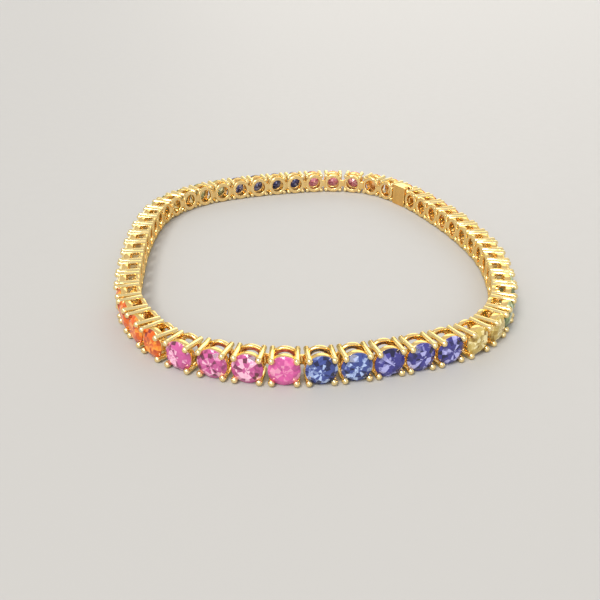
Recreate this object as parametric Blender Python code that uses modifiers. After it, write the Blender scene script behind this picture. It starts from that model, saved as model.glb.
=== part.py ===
"""Tennis bracelet: a closed row of round stones in four-prong settings with a box clasp.

It lies on its edge with the stones facing outwards. +X is to the right, -Y is the front,
+Z is up, and the origin is under the middle of the loop.

A setting is modelled about its own axis: local Z runs from the wrist out through the
stone, local X runs along the row and local Y is up.
"""

import math

import bmesh
import bpy
from mathutils import Matrix, Vector
from mathutils.geometry import interpolate_bezier

MM = 0.001

# Stone
STONE_DIAMETER = 3.4 * MM
TABLE_DIAMETER = 2.0 * MM
CROWN_HEIGHT = 0.48 * MM
PAVILION_DEPTH = 1.5 * MM

# Setting, from the wrist outwards
RING_HEIGHT = 0.5 * MM
RING_WALL = 0.62 * MM
BASKET_OPENING = 1.15 * MM
SEAT_HEIGHT = 0.85 * MM
RAIL_INSET = 0.04 * MM  # the rails stand this far inside the stone's edge
PRONG_WIDTH = 0.46 * MM
PRONG_DEPTH = 0.44 * MM
TIP_RISE = 0.68 * MM  # a prong's top above the girdle

# Row
SETTINGS = 50
CLASP_PLACE = 21  # places from the front stone round to the clasp, the right way round
RIGHT_LINE_FIRST = 47
TIP_GAP = 0.152 * MM  # between the prongs of two settings in a straight row
TAB_HEIGHT = 1.2 * MM
TAB_INSET = 0.08 * MM  # the tabs stand back from both faces of the gallery rings
TAB_BITE = 0.3 * MM
ROOT_INSET = 0.03 * MM  # the end hook's root stands this far inside its ring's outer side

# Hooks and clasp
FIT_GAP = 0.25 * MM
HOOK_THICKNESS = 0.34 * MM
HOOK_WIDTH = 1.0 * MM
HOOK_LIP = 0.34 * MM
BOX_WALL = 0.55 * MM
BOX_PROUD = 0.04 * MM  # the box's flat sides stand this far outside the prongs
BOX_SETBACK = 0.1 * MM  # its ends stand this far inside a setting's
BOX_BEVEL = 0.14 * MM
HEAD_BITE = 0.08 * MM  # how deep the clasp's own setting is let into its box
TONGUE_WIDTH = 1.1 * MM
THUMB_TAB = 0.32 * MM

# A prong's rounded tip, from its shoulder up: height as a share of the rise, lean over the
# stone as a share of the prong's depth, width as a share of the prong's
TIP_SECTIONS = [
    {"height": 0.5, "lean": 0.1, "width": 1.2},
    {"height": 1.0, "lean": 0.2, "width": 0.6},
]

# Round pieces have 12 facets: four narrow ones as wide as a prong, and eight of about a tenth
TURN_SIDES = 12
PRONG_ANGLES = (45, 135, 225, 315)

# The loop's line at the wrist side, in shares of its depth, anticlockwise from the front stone
ROUTE = [
    (-0.047, -0.500),
    (0.119, -0.471),
    (0.272, -0.402),
    (0.339, -0.314),
    (0.371, -0.206),
    (0.384, -0.038),
    (0.355, 0.129),
    (0.301, 0.288),
    (0.252, 0.390),
    (0.179, 0.474),
    (0.072, 0.500),
    (-0.093, 0.466),
    (-0.247, 0.397),
    (-0.329, 0.321),
    (-0.374, 0.219),
    (-0.382, 0.051),
    (-0.367, -0.117),
    (-0.337, -0.283),
    (-0.287, -0.384),
    (-0.208, -0.462),
]
ROUTE_STEPS = 24  # points on the smooth line from one route point to the next
SOLVER_STEPS = 48

GOLD = ("yellow_gold", (0.83, 0.56, 0.20), 0.18)
STONE_COLOURS = [
    ("hot_pink", (0.90, 0.10, 0.42)),
    ("cornflower_blue", (0.16, 0.28, 0.78)),
    ("royal_blue", (0.07, 0.09, 0.55)),
    ("olive_yellow", (0.55, 0.52, 0.20)),
    ("leaf_green", (0.36, 0.55, 0.24)),
    ("straw_yellow", (0.86, 0.72, 0.22)),
    ("amber", (0.90, 0.46, 0.12)),
    ("soft_pink", (0.84, 0.36, 0.52)),
    ("ink_blue", (0.10, 0.11, 0.32)),
    ("orange_red", (0.88, 0.16, 0.03)),
    ("magenta", (0.78, 0.13, 0.46)),
]
# Runs of one colour, anticlockwise from the front stone: colour, how many places
COLOUR_RUNS = [
    ("hot_pink", 1),
    ("cornflower_blue", 2),
    ("royal_blue", 3),
    ("olive_yellow", 2),
    ("leaf_green", 3),
    ("straw_yellow", 6),
    ("amber", 7),
    ("soft_pink", 3),
    ("ink_blue", 4),
    ("leaf_green", 5),
    ("straw_yellow", 8),
    ("orange_red", 4),
    ("magenta", 3),
]

# Worked out from the sizes above
STONE_RADIUS = STONE_DIAMETER / 2
RAIL_RADIUS = STONE_RADIUS - RAIL_INSET
PRONG_OUTER = RAIL_RADIUS + PRONG_DEPTH
PRONG_HALF_ANGLE = math.degrees(math.asin(PRONG_WIDTH / 2 / RAIL_RADIUS))
SEAT_LEVEL = RING_HEIGHT + BASKET_OPENING
GIRDLE_LEVEL = SEAT_LEVEL + SEAT_HEIGHT
TABLE_LEVEL = GIRDLE_LEVEL + CROWN_HEIGHT
HALF_SETTING = PRONG_OUTER * math.sin(math.radians(45 + PRONG_HALF_ANGLE))
PITCH = 2 * HALF_SETTING + TIP_GAP
PLACES = SETTINGS + 1
HOOK_LEVEL = RING_HEIGHT + FIT_GAP
BOX_HALF = HALF_SETTING + BOX_PROUD
BOX_REACH = HALF_SETTING - BOX_SETBACK
BOX_TOP = HOOK_LEVEL + HOOK_THICKNESS + FIT_GAP + BOX_WALL
TONGUE_LEVEL = Matrix.Translation((0, 0, HOOK_LEVEL + HOOK_THICKNESS / 2))
WELD = 1e-7
SHARP_ANGLE = math.radians(50)


def clear_scene():
    """Removes what a new file holds."""
    for obj in list(bpy.data.objects):
        bpy.data.objects.remove(obj)


def new_collection(name):
    """A collection of this name in the scene."""
    collection = bpy.data.collections.new(name)
    bpy.context.scene.collection.children.link(collection)
    return collection


def new_material(name, colour, roughness, metallic):
    """A plain finish."""
    material = bpy.data.materials.new(name)
    material.use_nodes = True
    shader = material.node_tree.nodes["Principled BSDF"]
    shader.inputs["Base Color"].default_value = (*colour, 1.0)
    shader.inputs["Roughness"].default_value = roughness
    shader.inputs["Metallic"].default_value = metallic
    material.diffuse_color = (*colour, 1.0)
    return material


def new_object(name, mesh, collection, finishes):
    """An object on this mesh, dressed in the finishes that its faces number."""
    obj = bpy.data.objects.new(name, mesh)
    collection.objects.link(obj)
    for finish in finishes:
        mesh.materials.append(finish)
    return obj


def baked(obj):
    """The object's mesh as its modifiers leave it. The object itself is removed."""
    graph = bpy.context.evaluated_depsgraph_get()
    mesh = bpy.data.meshes.new_from_object(obj.evaluated_get(graph))
    bpy.data.objects.remove(obj)
    return mesh


def turned(profile, is_ring, collection):
    """A turned mesh about Z from (radius, height) points that run down its outer side."""
    shape = bmesh.new()
    points = [shape.verts.new((radius, 0, height)) for radius, height in profile]
    for start, end in zip(points, points[1:]):
        shape.edges.new((start, end))
    if is_ring:
        shape.edges.new((points[-1], points[0]))
    mesh = bpy.data.meshes.new("profile")
    shape.to_mesh(mesh)
    shape.free()
    obj = bpy.data.objects.new("profile", mesh)
    collection.objects.link(obj)
    screw = obj.modifiers.new("turn", "SCREW")
    screw.axis = "Z"
    screw.steps = TURN_SIDES
    screw.render_steps = TURN_SIDES
    screw.use_merge_vertices = True
    screw.merge_threshold = WELD
    return baked(obj)


def narrow_prong_facets(shape):
    """Turns the points beside each prong's angle about Z, until they are a prong's width apart."""
    half_facet = 180 / TURN_SIDES
    for vertex in shape.verts:
        angle = math.degrees(math.atan2(vertex.co.y, vertex.co.x)) % 360
        for middle in PRONG_ANGLES:
            if abs(abs(angle - middle) - half_facet) < 1:
                side = math.copysign(1, angle - middle)
                turn = math.radians(middle + side * PRONG_HALF_ANGLE - angle)
                vertex.co = Matrix.Rotation(turn, 3, "Z") @ vertex.co


def block(low, high):
    """A box mesh between two corners."""
    shape = bmesh.new()
    bmesh.ops.create_cube(shape, size=1)
    size = Vector(high) - Vector(low)
    middle = (Vector(high) + Vector(low)) / 2
    bmesh.ops.scale(shape, vec=size, verts=shape.verts)
    bmesh.ops.translate(shape, vec=middle, verts=shape.verts)
    mesh = bpy.data.meshes.new("block")
    shape.to_mesh(mesh)
    shape.free()
    return mesh


def plate(outline, half_thickness):
    """A flat mesh of the outline in X and Y, as thick to each side of it along Z."""
    curve = bpy.data.curves.new("plate", "CURVE")
    curve.dimensions = "2D"
    curve.fill_mode = "BOTH"
    curve.extrude = half_thickness
    spline = curve.splines.new("POLY")
    spline.points.add(len(outline) - 1)
    for point, (x, y) in zip(spline.points, outline):
        point.co = (x, y, 0, 1)
    spline.use_cyclic_u = True
    obj = bpy.data.objects.new("plate", curve)
    bpy.context.scene.collection.objects.link(obj)
    mesh = baked(obj)
    bpy.data.curves.remove(curve)
    return mesh


def gathered(name, pieces):
    """One mesh of the (mesh, matrix, colour number) pieces. Colour 1 stands for the piece's own stone."""
    whole = bmesh.new()
    for mesh, matrix, colour in pieces:
        before_points = len(whole.verts)
        before_faces = len(whole.faces)
        whole.from_mesh(mesh)
        whole.verts.ensure_lookup_table()
        whole.faces.ensure_lookup_table()
        bmesh.ops.transform(whole, matrix=matrix, verts=whole.verts[before_points:])
        for face in whole.faces[before_faces:]:
            face.smooth = True
            if face.material_index:
                face.material_index = colour
    bmesh.ops.remove_doubles(whole, verts=whole.verts, dist=WELD)
    bmesh.ops.recalc_face_normals(whole, faces=whole.faces)
    for edge in whole.edges:
        is_stone = any(face.material_index for face in edge.link_faces)
        edge.smooth = not is_stone and edge.calc_face_angle(0) < SHARP_ANGLE
    mesh = bpy.data.meshes.new(name)
    whole.to_mesh(mesh)
    whole.free()
    return mesh


def join_with(obj, cutter, operation):
    """Adds a Boolean to the object and hides what it reads."""
    boolean = obj.modifiers.new(cutter.name, "BOOLEAN")
    boolean.operation = operation
    boolean.solver = "EXACT"
    boolean.object = cutter
    cutter.hide_render = True
    cutter.display_type = "WIRE"


def head_mesh(collection):
    """The stone fused to its seat rail: table, crown, rail and pavilion."""
    profile = [
        (0, TABLE_LEVEL),
        (TABLE_DIAMETER / 2, TABLE_LEVEL),
        (STONE_RADIUS, GIRDLE_LEVEL),
        (RAIL_RADIUS, SEAT_LEVEL),
        (0, GIRDLE_LEVEL - PAVILION_DEPTH),
    ]
    mesh = turned(profile, False, collection)
    for face in mesh.polygons:
        if face.center.z > GIRDLE_LEVEL or face.center.z < SEAT_LEVEL:
            face.material_index = 1
    return mesh


def ring_mesh(collection):
    """The gallery ring at the wrist side."""
    inner = RAIL_RADIUS - RING_WALL
    profile = [(RAIL_RADIUS, RING_HEIGHT), (RAIL_RADIUS, 0), (inner, 0), (inner, RING_HEIGHT)]
    return turned(profile, True, collection)


def face_near(shape, radius, angle, height):
    """The face whose middle is nearest to this place."""
    turn = math.radians(angle)
    place = Vector((radius * math.cos(turn), radius * math.sin(turn), height))
    return min(shape.faces, key=lambda face: (face.calc_center_median() - place).length)


def extruded(shape, face):
    """The face's copy at the end of a new extrusion in metal."""
    made = bmesh.ops.extrude_face_region(shape, geom=[face])["geom"]
    bmesh.ops.delete(shape, geom=[face], context="FACES_ONLY")
    end = next(item for item in made if isinstance(item, bmesh.types.BMFace))
    for vertex in end.verts:
        for side in vertex.link_faces:
            side.material_index = 0
    return end


def push_out(shape, face):
    """Extrudes a rail's outer face to the prongs' outer radius."""
    for vertex in extruded(shape, face).verts:
        scale = PRONG_OUTER / vertex.co.xy.length
        vertex.co.x *= scale
        vertex.co.y *= scale


def add_prong(shape, angle):
    """One prong: it leaves the gallery ring, joins the seat rail and ends in a tip over the stone."""
    middle = RAIL_RADIUS * math.cos(math.radians(PRONG_HALF_ANGLE))
    push_out(shape, face_near(shape, middle, angle, RING_HEIGHT / 2))
    push_out(shape, face_near(shape, middle, angle, (SEAT_LEVEL + GIRDLE_LEVEL) / 2))
    wire = (RAIL_RADIUS + PRONG_OUTER) / 2
    foot = face_near(shape, wire, angle, RING_HEIGHT)
    seat = face_near(shape, wire, angle, SEAT_LEVEL)
    edges = list(foot.edges) + list(seat.edges)
    bmesh.ops.delete(shape, geom=[foot, seat], context="FACES_ONLY")
    bmesh.ops.bridge_loops(shape, edges=edges)
    turn = math.radians(angle)
    inwards = Vector((-math.cos(turn), -math.sin(turn), 0))
    top = face_near(shape, wire, angle, GIRDLE_LEVEL)
    first = [vertex.co.copy() for vertex in top.verts]
    centre = sum(first, Vector()) / len(first)
    for section in TIP_SECTIONS:
        top = extruded(shape, top)
        move = inwards * (section["lean"] * PRONG_DEPTH)
        move.z = section["height"] * TIP_RISE
        for vertex in top.verts:
            start = min(first, key=lambda point: (point - vertex.co).xy.length)
            vertex.co = centre + (start - centre) * section["width"] + move


def setting_mesh(collection):
    """One whole setting with its stone, as one body."""
    shape = bmesh.new()
    shape.from_mesh(head_mesh(collection))
    shape.from_mesh(ring_mesh(collection))
    bmesh.ops.remove_doubles(shape, verts=shape.verts, dist=WELD)
    narrow_prong_facets(shape)
    for angle in PRONG_ANGLES:
        add_prong(shape, angle)
    bmesh.ops.triangulate(shape, faces=shape.faces)
    bmesh.ops.recalc_face_normals(shape, faces=shape.faces)
    mesh = bpy.data.meshes.new("setting")
    shape.to_mesh(mesh)
    shape.free()
    return mesh


def cut_head(setting, level):
    """The part of the setting above this level, closed below."""
    shape = bmesh.new()
    shape.from_mesh(setting)
    everything = list(shape.verts) + list(shape.edges) + list(shape.faces)
    bmesh.ops.bisect_plane(
        shape, geom=everything, plane_co=(0, 0, level), plane_no=(0, 0, 1), clear_inner=True
    )
    bmesh.ops.holes_fill(shape, edges=shape.edges)
    mesh = bpy.data.meshes.new("head")
    shape.to_mesh(mesh)
    shape.free()
    return mesh


def smooth_route():
    """The route as a dense closed line through its points."""
    points = [Vector((*share, 0)) for share in ROUTE]
    count = len(points)
    headings = [
        (points[(i + 1) % count] - points[i - 1]).normalized() for i in range(count)
    ]
    line = []
    for i in range(count):
        start = points[i]
        end = points[(i + 1) % count]
        reach = (end - start).length / 3
        first = start + headings[i] * reach
        second = end - headings[(i + 1) % count] * reach
        line += interpolate_bezier(start, first, second, end, ROUTE_STEPS + 1)[:-1]
    return line


def walk(line, chord):
    """Points one chord apart along the closed line, and how far round the last step ends."""
    count = len(line)
    here = line[0]
    at = 0
    found = []
    for _ in range(PLACES):
        found.append(here)
        while (line[(at + 1) % count] - here).length < chord:
            at += 1
        start = line[at % count]
        step = line[(at + 1) % count] - start
        low = 0.0
        high = 1.0
        for _ in range(SOLVER_STEPS):
            middle = (low + high) / 2
            if (start + step * middle - here).length < chord:
                low = middle
            else:
                high = middle
        here = start + step * low
    return found, at + low


def places():
    """Where each setting's wrist end is: PLACES points, one pitch apart all round the loop."""
    line = smooth_route()
    around = sum((line[i] - line[i - 1]).length for i in range(len(line)))
    low = around / PLACES / 2
    high = around / PLACES
    for _ in range(SOLVER_STEPS):
        chord = (low + high) / 2
        _, reached = walk(line, chord)
        if reached < len(line):
            low = chord
        else:
            high = chord
    found, _ = walk(line, low)
    return [point * (PITCH / low) for point in found]


def frames():
    """The matrix of each place, its X along the row, its Y up and its Z outwards."""
    points = places()
    matrices = []
    for i, point in enumerate(points):
        along = (points[(i + 1) % PLACES] - points[i - 1]).normalized()
        up = Vector((0, 0, 1))
        out = along.cross(up)
        matrix = Matrix((along, up, out)).transposed().to_4x4()
        matrices.append(Matrix.Translation(point) @ matrix)
    return matrices


def tab_piece(start, end):
    """The connector between two neighbouring settings, with its ends in their gallery rings."""
    middle = (start.translation + end.translation) / 2
    along = (end.translation - start.translation).normalized()
    up = Vector((0, 0, 1))
    matrix = Matrix((along, up, along.cross(up))).transposed().to_4x4()
    reach = (end.translation - start.translation).length / 2 - RAIL_RADIUS + TAB_BITE
    half = TAB_HEIGHT / 2
    mesh = block((-reach, -half, TAB_INSET), (reach, half, RING_HEIGHT - TAB_INSET))
    return mesh, Matrix.Translation(middle) @ matrix, 0


def hook(side, reach):
    """The hook that holds a gallery ring from inside, and the matrix that stands it on edge.

    side is 1 where it leaves the setting along +X and -1 along -X, and reach is how far
    from the setting's axis its arm ends.
    """
    lip_outer = RAIL_RADIUS - RING_WALL - FIT_GAP
    lip_inner = lip_outer - HOOK_LIP
    top = HOOK_LEVEL + HOOK_THICKNESS
    outline = [
        (lip_inner, RING_HEIGHT / 2),
        (lip_outer, RING_HEIGHT / 2),
        (lip_outer, HOOK_LEVEL),
        (reach, HOOK_LEVEL),
        (reach, top),
        (lip_inner, top),
    ]
    mesh = plate([(side * x, height) for x, height in outline], HOOK_WIDTH / 2)
    return mesh, Matrix.Rotation(math.radians(90), 4, "X")


def line_object(name, numbers, setting, matrices, colours, holders):
    """One line of settings, fused to each other by their tabs."""
    parts, cutters, finishes = holders
    pieces = [(setting, matrices[n], colours[n]) for n in numbers]
    line = new_object(name, gathered(name, pieces), parts, finishes)
    tabs = [tab_piece(matrices[a], matrices[b]) for a, b in zip(numbers, numbers[1:])]
    tab_object = new_object(name + "_tabs", gathered("tabs", tabs), cutters, finishes)
    join_with(line, tab_object, "UNION")
    return line


def fuse(obj, name, mesh, matrix, holders, colour=0):
    """Fuses a placed mesh to the object."""
    _, cutters, finishes = holders
    piece = new_object(name, gathered(name, [(mesh, matrix, colour)]), cutters, finishes)
    join_with(obj, piece, "UNION")


def cut(obj, name, mesh, matrix, holders):
    """Cuts a placed mesh out of the object."""
    _, cutters, finishes = holders
    cutter = new_object(name, gathered(name, [(mesh, matrix, 0)]), cutters, finishes)
    join_with(obj, cutter, "DIFFERENCE")


def add_end_hook(line, last, following, holders):
    """Ends a line in a root on its last ring and a hook in the next line's first ring."""
    half = TAB_HEIGHT / 2
    outer = RAIL_RADIUS - ROOT_INSET
    top = HOOK_LEVEL + HOOK_THICKNESS + TAB_BITE / 3
    root = block((RAIL_RADIUS - TAB_BITE, -half, RING_HEIGHT / 2), (outer, half, top))
    fuse(line, "end_root", root, last, holders)
    mesh, upright = hook(-1, PITCH - RAIL_RADIUS + TAB_BITE)
    fuse(line, "end_hook", mesh, following @ upright, holders)


def clasp_box(setting, place, following, colour, holders):
    """The box of the clasp, with its stone, the slot for the tongue and the hook beyond it."""
    parts, _, finishes = holders
    body = block((-BOX_REACH, -BOX_HALF, 0), (BOX_REACH, BOX_HALF, BOX_TOP))
    box = new_object("clasp_box", gathered("clasp_box", [(body, place, 0)]), parts, finishes)
    bevel = box.modifiers.new("rounded_edges", "BEVEL")
    bevel.width = BOX_BEVEL
    bevel.segments = 1

    slot_half = TONGUE_WIDTH / 2 + FIT_GAP
    slot_end = BOX_REACH - BOX_WALL
    notch_end = -BOX_REACH + THUMB_TAB + 2 * FIT_GAP
    outside = BOX_HALF + FIT_GAP
    outline = [
        (-outside, -slot_half),
        (slot_end, -slot_half),
        (slot_end, slot_half),
        (notch_end, slot_half),
        (notch_end, outside),
        (-outside, outside),
    ]
    slot = plate(outline, HOOK_THICKNESS / 2 + FIT_GAP)
    cut(box, "tongue_slot", slot, place @ TONGUE_LEVEL, holders)

    head = cut_head(setting, BOX_TOP - HEAD_BITE)
    fuse(box, "clasp_head", head, place, holders, colour)
    mesh, upright = hook(-1, PITCH - BOX_REACH + BOX_WALL / 2)
    fuse(box, "box_hook", mesh, following @ upright, holders)
    return box


def clasp_tongue(place, before, holders):
    """The spring tongue in the box, its thumb tab and the hook in the ring before it."""
    parts, _, finishes = holders
    wide = TONGUE_WIDTH / 2
    outer_end = -(PITCH - RAIL_RADIUS)
    inner_end = BOX_REACH - BOX_WALL - FIT_GAP
    tab_start = -BOX_REACH + FIT_GAP
    tab_end = tab_start + THUMB_TAB
    outline = [
        (outer_end, -wide),
        (inner_end, -wide),
        (inner_end, wide),
        (tab_end, wide),
        (tab_end, BOX_HALF),
        (tab_start, BOX_HALF),
        (tab_start, wide),
        (outer_end, wide),
    ]
    leaf = plate(outline, HOOK_THICKNESS / 2)
    whole = gathered("clasp_tongue", [(leaf, place @ TONGUE_LEVEL, 0)])
    tongue = new_object("clasp_tongue", whole, parts, finishes)
    mesh, upright = hook(1, PITCH - BOX_REACH)
    fuse(tongue, "tongue_hook", mesh, before @ upright, holders)
    return tongue


def stand_on_origin(objects):
    """Moves every piece so that the whole stands on the origin's plane, centred over it."""
    bpy.context.view_layer.update()
    graph = bpy.context.evaluated_depsgraph_get()
    points = [
        vertex.co.copy()
        for obj in objects
        for vertex in obj.evaluated_get(graph).data.vertices
    ]
    lows = [min(point[axis] for point in points) for axis in range(3)]
    highs = [max(point[axis] for point in points) for axis in range(3)]
    shift = Vector((-(lows[0] + highs[0]) / 2, -(lows[1] + highs[1]) / 2, -lows[2]))
    for obj in bpy.data.objects:
        obj.data.transform(Matrix.Translation(shift))


def main():
    clear_scene()
    parts = new_collection("tennis_bracelet")
    cutters = new_collection("cutters")
    gold_name, gold_colour, gold_roughness = GOLD
    finishes = [new_material(gold_name, gold_colour, gold_roughness, 1.0)]
    for name, colour in STONE_COLOURS:
        finishes.append(new_material(name, colour, 0.05, 0.0))
    holders = (parts, cutters, finishes)
    numbers = {name: i + 1 for i, (name, _) in enumerate(STONE_COLOURS)}
    colours = [numbers[name] for name, count in COLOUR_RUNS for _ in range(count)]

    setting = setting_mesh(cutters)
    matrices = frames()
    right = list(range(RIGHT_LINE_FIRST, PLACES)) + list(range(CLASP_PLACE))
    left = list(range(CLASP_PLACE + 1, RIGHT_LINE_FIRST))
    objects = [
        line_object("stone_line_right", right, setting, matrices, colours, holders),
        line_object("stone_line_left", left, setting, matrices, colours, holders),
    ]
    add_end_hook(objects[1], matrices[left[-1]], matrices[right[0]], holders)
    clasp = matrices[CLASP_PLACE]
    objects.append(clasp_box(setting, clasp, matrices[left[0]], colours[CLASP_PLACE], holders))
    objects.append(clasp_tongue(clasp, matrices[right[-1]], holders))
    stand_on_origin(objects)


main()
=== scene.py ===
"""Looks of a tennis bracelet: cut stones in polished gold settings, a box clasp and a studio.

Sizes are in metres in the part's own frame. The bracelet lies on its edge with the stones
facing outwards. +X is to the right, -Y is the front and +Z is up. A setting is modelled about
its own axis: local Z runs from the wrist out through the stone, local X along the row, and
local Y is up.
"""

import logging
import math
import random
from dataclasses import dataclass, field
from enum import Enum

import bmesh
import bpy
from mathutils import Matrix, Vector
from mathutils.geometry import interpolate_bezier


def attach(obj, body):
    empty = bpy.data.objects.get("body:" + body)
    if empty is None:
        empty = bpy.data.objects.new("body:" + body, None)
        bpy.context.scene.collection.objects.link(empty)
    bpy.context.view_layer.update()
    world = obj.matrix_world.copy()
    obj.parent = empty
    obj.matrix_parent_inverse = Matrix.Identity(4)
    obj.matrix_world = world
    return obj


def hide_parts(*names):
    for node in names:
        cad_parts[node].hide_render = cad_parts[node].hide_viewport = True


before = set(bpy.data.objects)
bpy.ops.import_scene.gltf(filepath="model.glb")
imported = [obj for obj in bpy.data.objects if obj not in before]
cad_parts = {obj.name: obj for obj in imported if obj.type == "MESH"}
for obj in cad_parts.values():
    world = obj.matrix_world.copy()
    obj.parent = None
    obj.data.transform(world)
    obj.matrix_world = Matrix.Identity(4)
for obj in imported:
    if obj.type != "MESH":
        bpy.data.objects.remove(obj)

log = logging.getLogger("tennis_bracelet")

MM = 0.001
WELD = 1e-7

Colour = tuple[float, float, float]
Point = tuple[float, float]
Copy = tuple[bpy.types.Mesh, Matrix, float]  # a mesh, its place and what it adds to a layer


class Layer(Enum):
    """Numbers that a mesh keeps for its finish: its painted shade, its facets' painted glints and a
    random tone.
    """

    # How much painted shade a face of gold gets.
    PAINTED_SHADE = "recess"
    # How bright a stone's facet is painted, a random painted glint.
    PAINTED_GLINT = "glint"
    TONE = "tone"


class Node(Enum):
    """The solids of the part that the pieces stand for."""

    RIGHT_LINE = "stone_line_right"
    LEFT_LINE = "stone_line_left"
    BOX = "clasp_box"
    TONGUE = "clasp_tongue"


class Slot(Enum):
    """The material slots of the record."""

    GOLD = "yellow_gold"
    HOT_PINK = "hot_pink_stone"
    CORNFLOWER = "cornflower_blue_stone"
    ROYAL_BLUE = "royal_blue_stone"
    OLIVE = "olive_yellow_stone"
    LEAF_GREEN = "leaf_green_stone"
    STRAW = "straw_yellow_stone"
    AMBER = "amber_stone"
    SOFT_PINK = "soft_pink_stone"
    INK_BLUE = "ink_blue_stone"
    ORANGE_RED = "orange_red_stone"
    MAGENTA = "magenta_stone"


class Wire:
    """A shader socket that takes part in Python arithmetic."""

    def __init__(self, tree: bpy.types.NodeTree, socket: bpy.types.NodeSocket) -> None:
        """Keeps the node tree and one of its output sockets."""
        self.tree = tree
        self.socket = socket

    def math(self, operation: str, first: "Wire | float", second: "Wire | float" = 0.0) -> "Wire":
        """Adds a Math node.

        Args:
            operation: The node's operation.
            first: The first value or wire.
            second: The second value or wire.

        Returns:
            The node's output.
        """
        node = self.tree.nodes.new("ShaderNodeMath")
        node.operation = operation
        for slot, value in zip(node.inputs, (first, second)):
            if isinstance(value, Wire):
                self.tree.links.new(value.socket, slot)
            else:
                slot.default_value = value
        return Wire(self.tree, node.outputs[0])

    def __add__(self, other: "Wire | float") -> "Wire":
        """Sum."""
        return self.math("ADD", self, other)

    def __radd__(self, other: float) -> "Wire":
        """Sum with a number on the left."""
        return self.math("ADD", other, self)

    def __sub__(self, other: "Wire | float") -> "Wire":
        """Difference."""
        return self.math("SUBTRACT", self, other)

    def __rsub__(self, other: float) -> "Wire":
        """Difference with a number on the left."""
        return self.math("SUBTRACT", other, self)

    def __mul__(self, other: "Wire | float") -> "Wire":
        """Product."""
        return self.math("MULTIPLY", self, other)

    def __rmul__(self, other: float) -> "Wire":
        """Product with a number on the left."""
        return self.math("MULTIPLY", other, self)

    def __pow__(self, other: "Wire | float") -> "Wire":
        """Power."""
        return self.math("POWER", self, other)

    def cosine(self) -> "Wire":
        """Cosine of the value."""
        return self.math("COSINE", self)

    def fraction(self) -> "Wire":
        """What the value has after its point."""
        return self.math("FRACT", self)

    def whole(self) -> "Wire":
        """The value without what it has after its point."""
        return self.math("FLOOR", self)

    def above(self, limit: float) -> "Wire":
        """1 where the value is over the limit, and 0 elsewhere."""
        return self.math("GREATER_THAN", self, limit)

    def angle(self, other: "Wire") -> "Wire":
        """Angle of the point with this value as its Y and the other as its X."""
        return self.math("ARCTAN2", self, other)


class Nodes:
    """A node tree, and the one way that its nodes are made."""

    def __init__(self, tree: bpy.types.NodeTree) -> None:
        """Keeps the tree."""
        self.tree = tree

    def node(
        self,
        kind: str,
        settings: dict[str, object] | None = None,
        sockets: dict[str | int, object] | None = None,
        output: str | int = 0,
    ) -> Wire:
        """Adds a node of any kind.

        Args:
            kind: The node's type name.
            settings: Its settings, with a ramp's colours under "stops".
            sockets: A value or a wire for each input named or numbered.
            output: The output to return.

        Returns:
            The chosen output.
        """
        made = self.tree.nodes.new(kind)
        for key, value in (settings or {}).items():
            if key == "stops":
                self._set_stops(made.color_ramp, value)
            else:
                setattr(made, key, value)
        for key, value in (sockets or {}).items():
            self.feed(made.inputs[key], value)
        return Wire(self.tree, made.outputs[output])

    def feed(self, slot: bpy.types.NodeSocket, value: object) -> None:
        """Links a wire to an input, or sets the input's value.

        Args:
            slot: The input.
            value: A wire, a colour or a number.
        """
        if isinstance(value, Wire):
            self.tree.links.new(value.socket, slot)
        elif isinstance(value, tuple) and slot.type == "RGBA":
            slot.default_value = (*value[:3], 1.0)
        else:
            slot.default_value = value

    @staticmethod
    def _set_stops(ramp: bpy.types.ColorRamp, stops: list[tuple[float, Colour]]) -> None:
        """Gives a ramp its colours.

        Args:
            ramp: The ramp.
            stops: The place and the colour of each stop, from first to last.
        """
        while len(ramp.elements) < len(stops):
            ramp.elements.new(1.0)
        for element, (place, colour) in zip(ramp.elements, stops):
            element.position = place
            element.color = (*colour, 1.0)


class Shader(Nodes):
    """One material's nodes."""

    def __init__(self, name: str) -> None:
        """Opens a new material with its Principled surface.

        Args:
            name: The material's name.
        """
        self.material = bpy.data.materials.new(name)
        self.material.use_nodes = True
        super().__init__(self.material.node_tree)
        self.surface = self.tree.nodes["Principled BSDF"]

    def finish(self, sockets: dict[str, object]) -> bpy.types.Material:
        """Feeds the Principled surface.

        Args:
            sockets: A value or a wire for each input named.

        Returns:
            The finished material.
        """
        for key, value in sockets.items():
            self.feed(self.surface.inputs[key], value)
        return self.material


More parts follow.
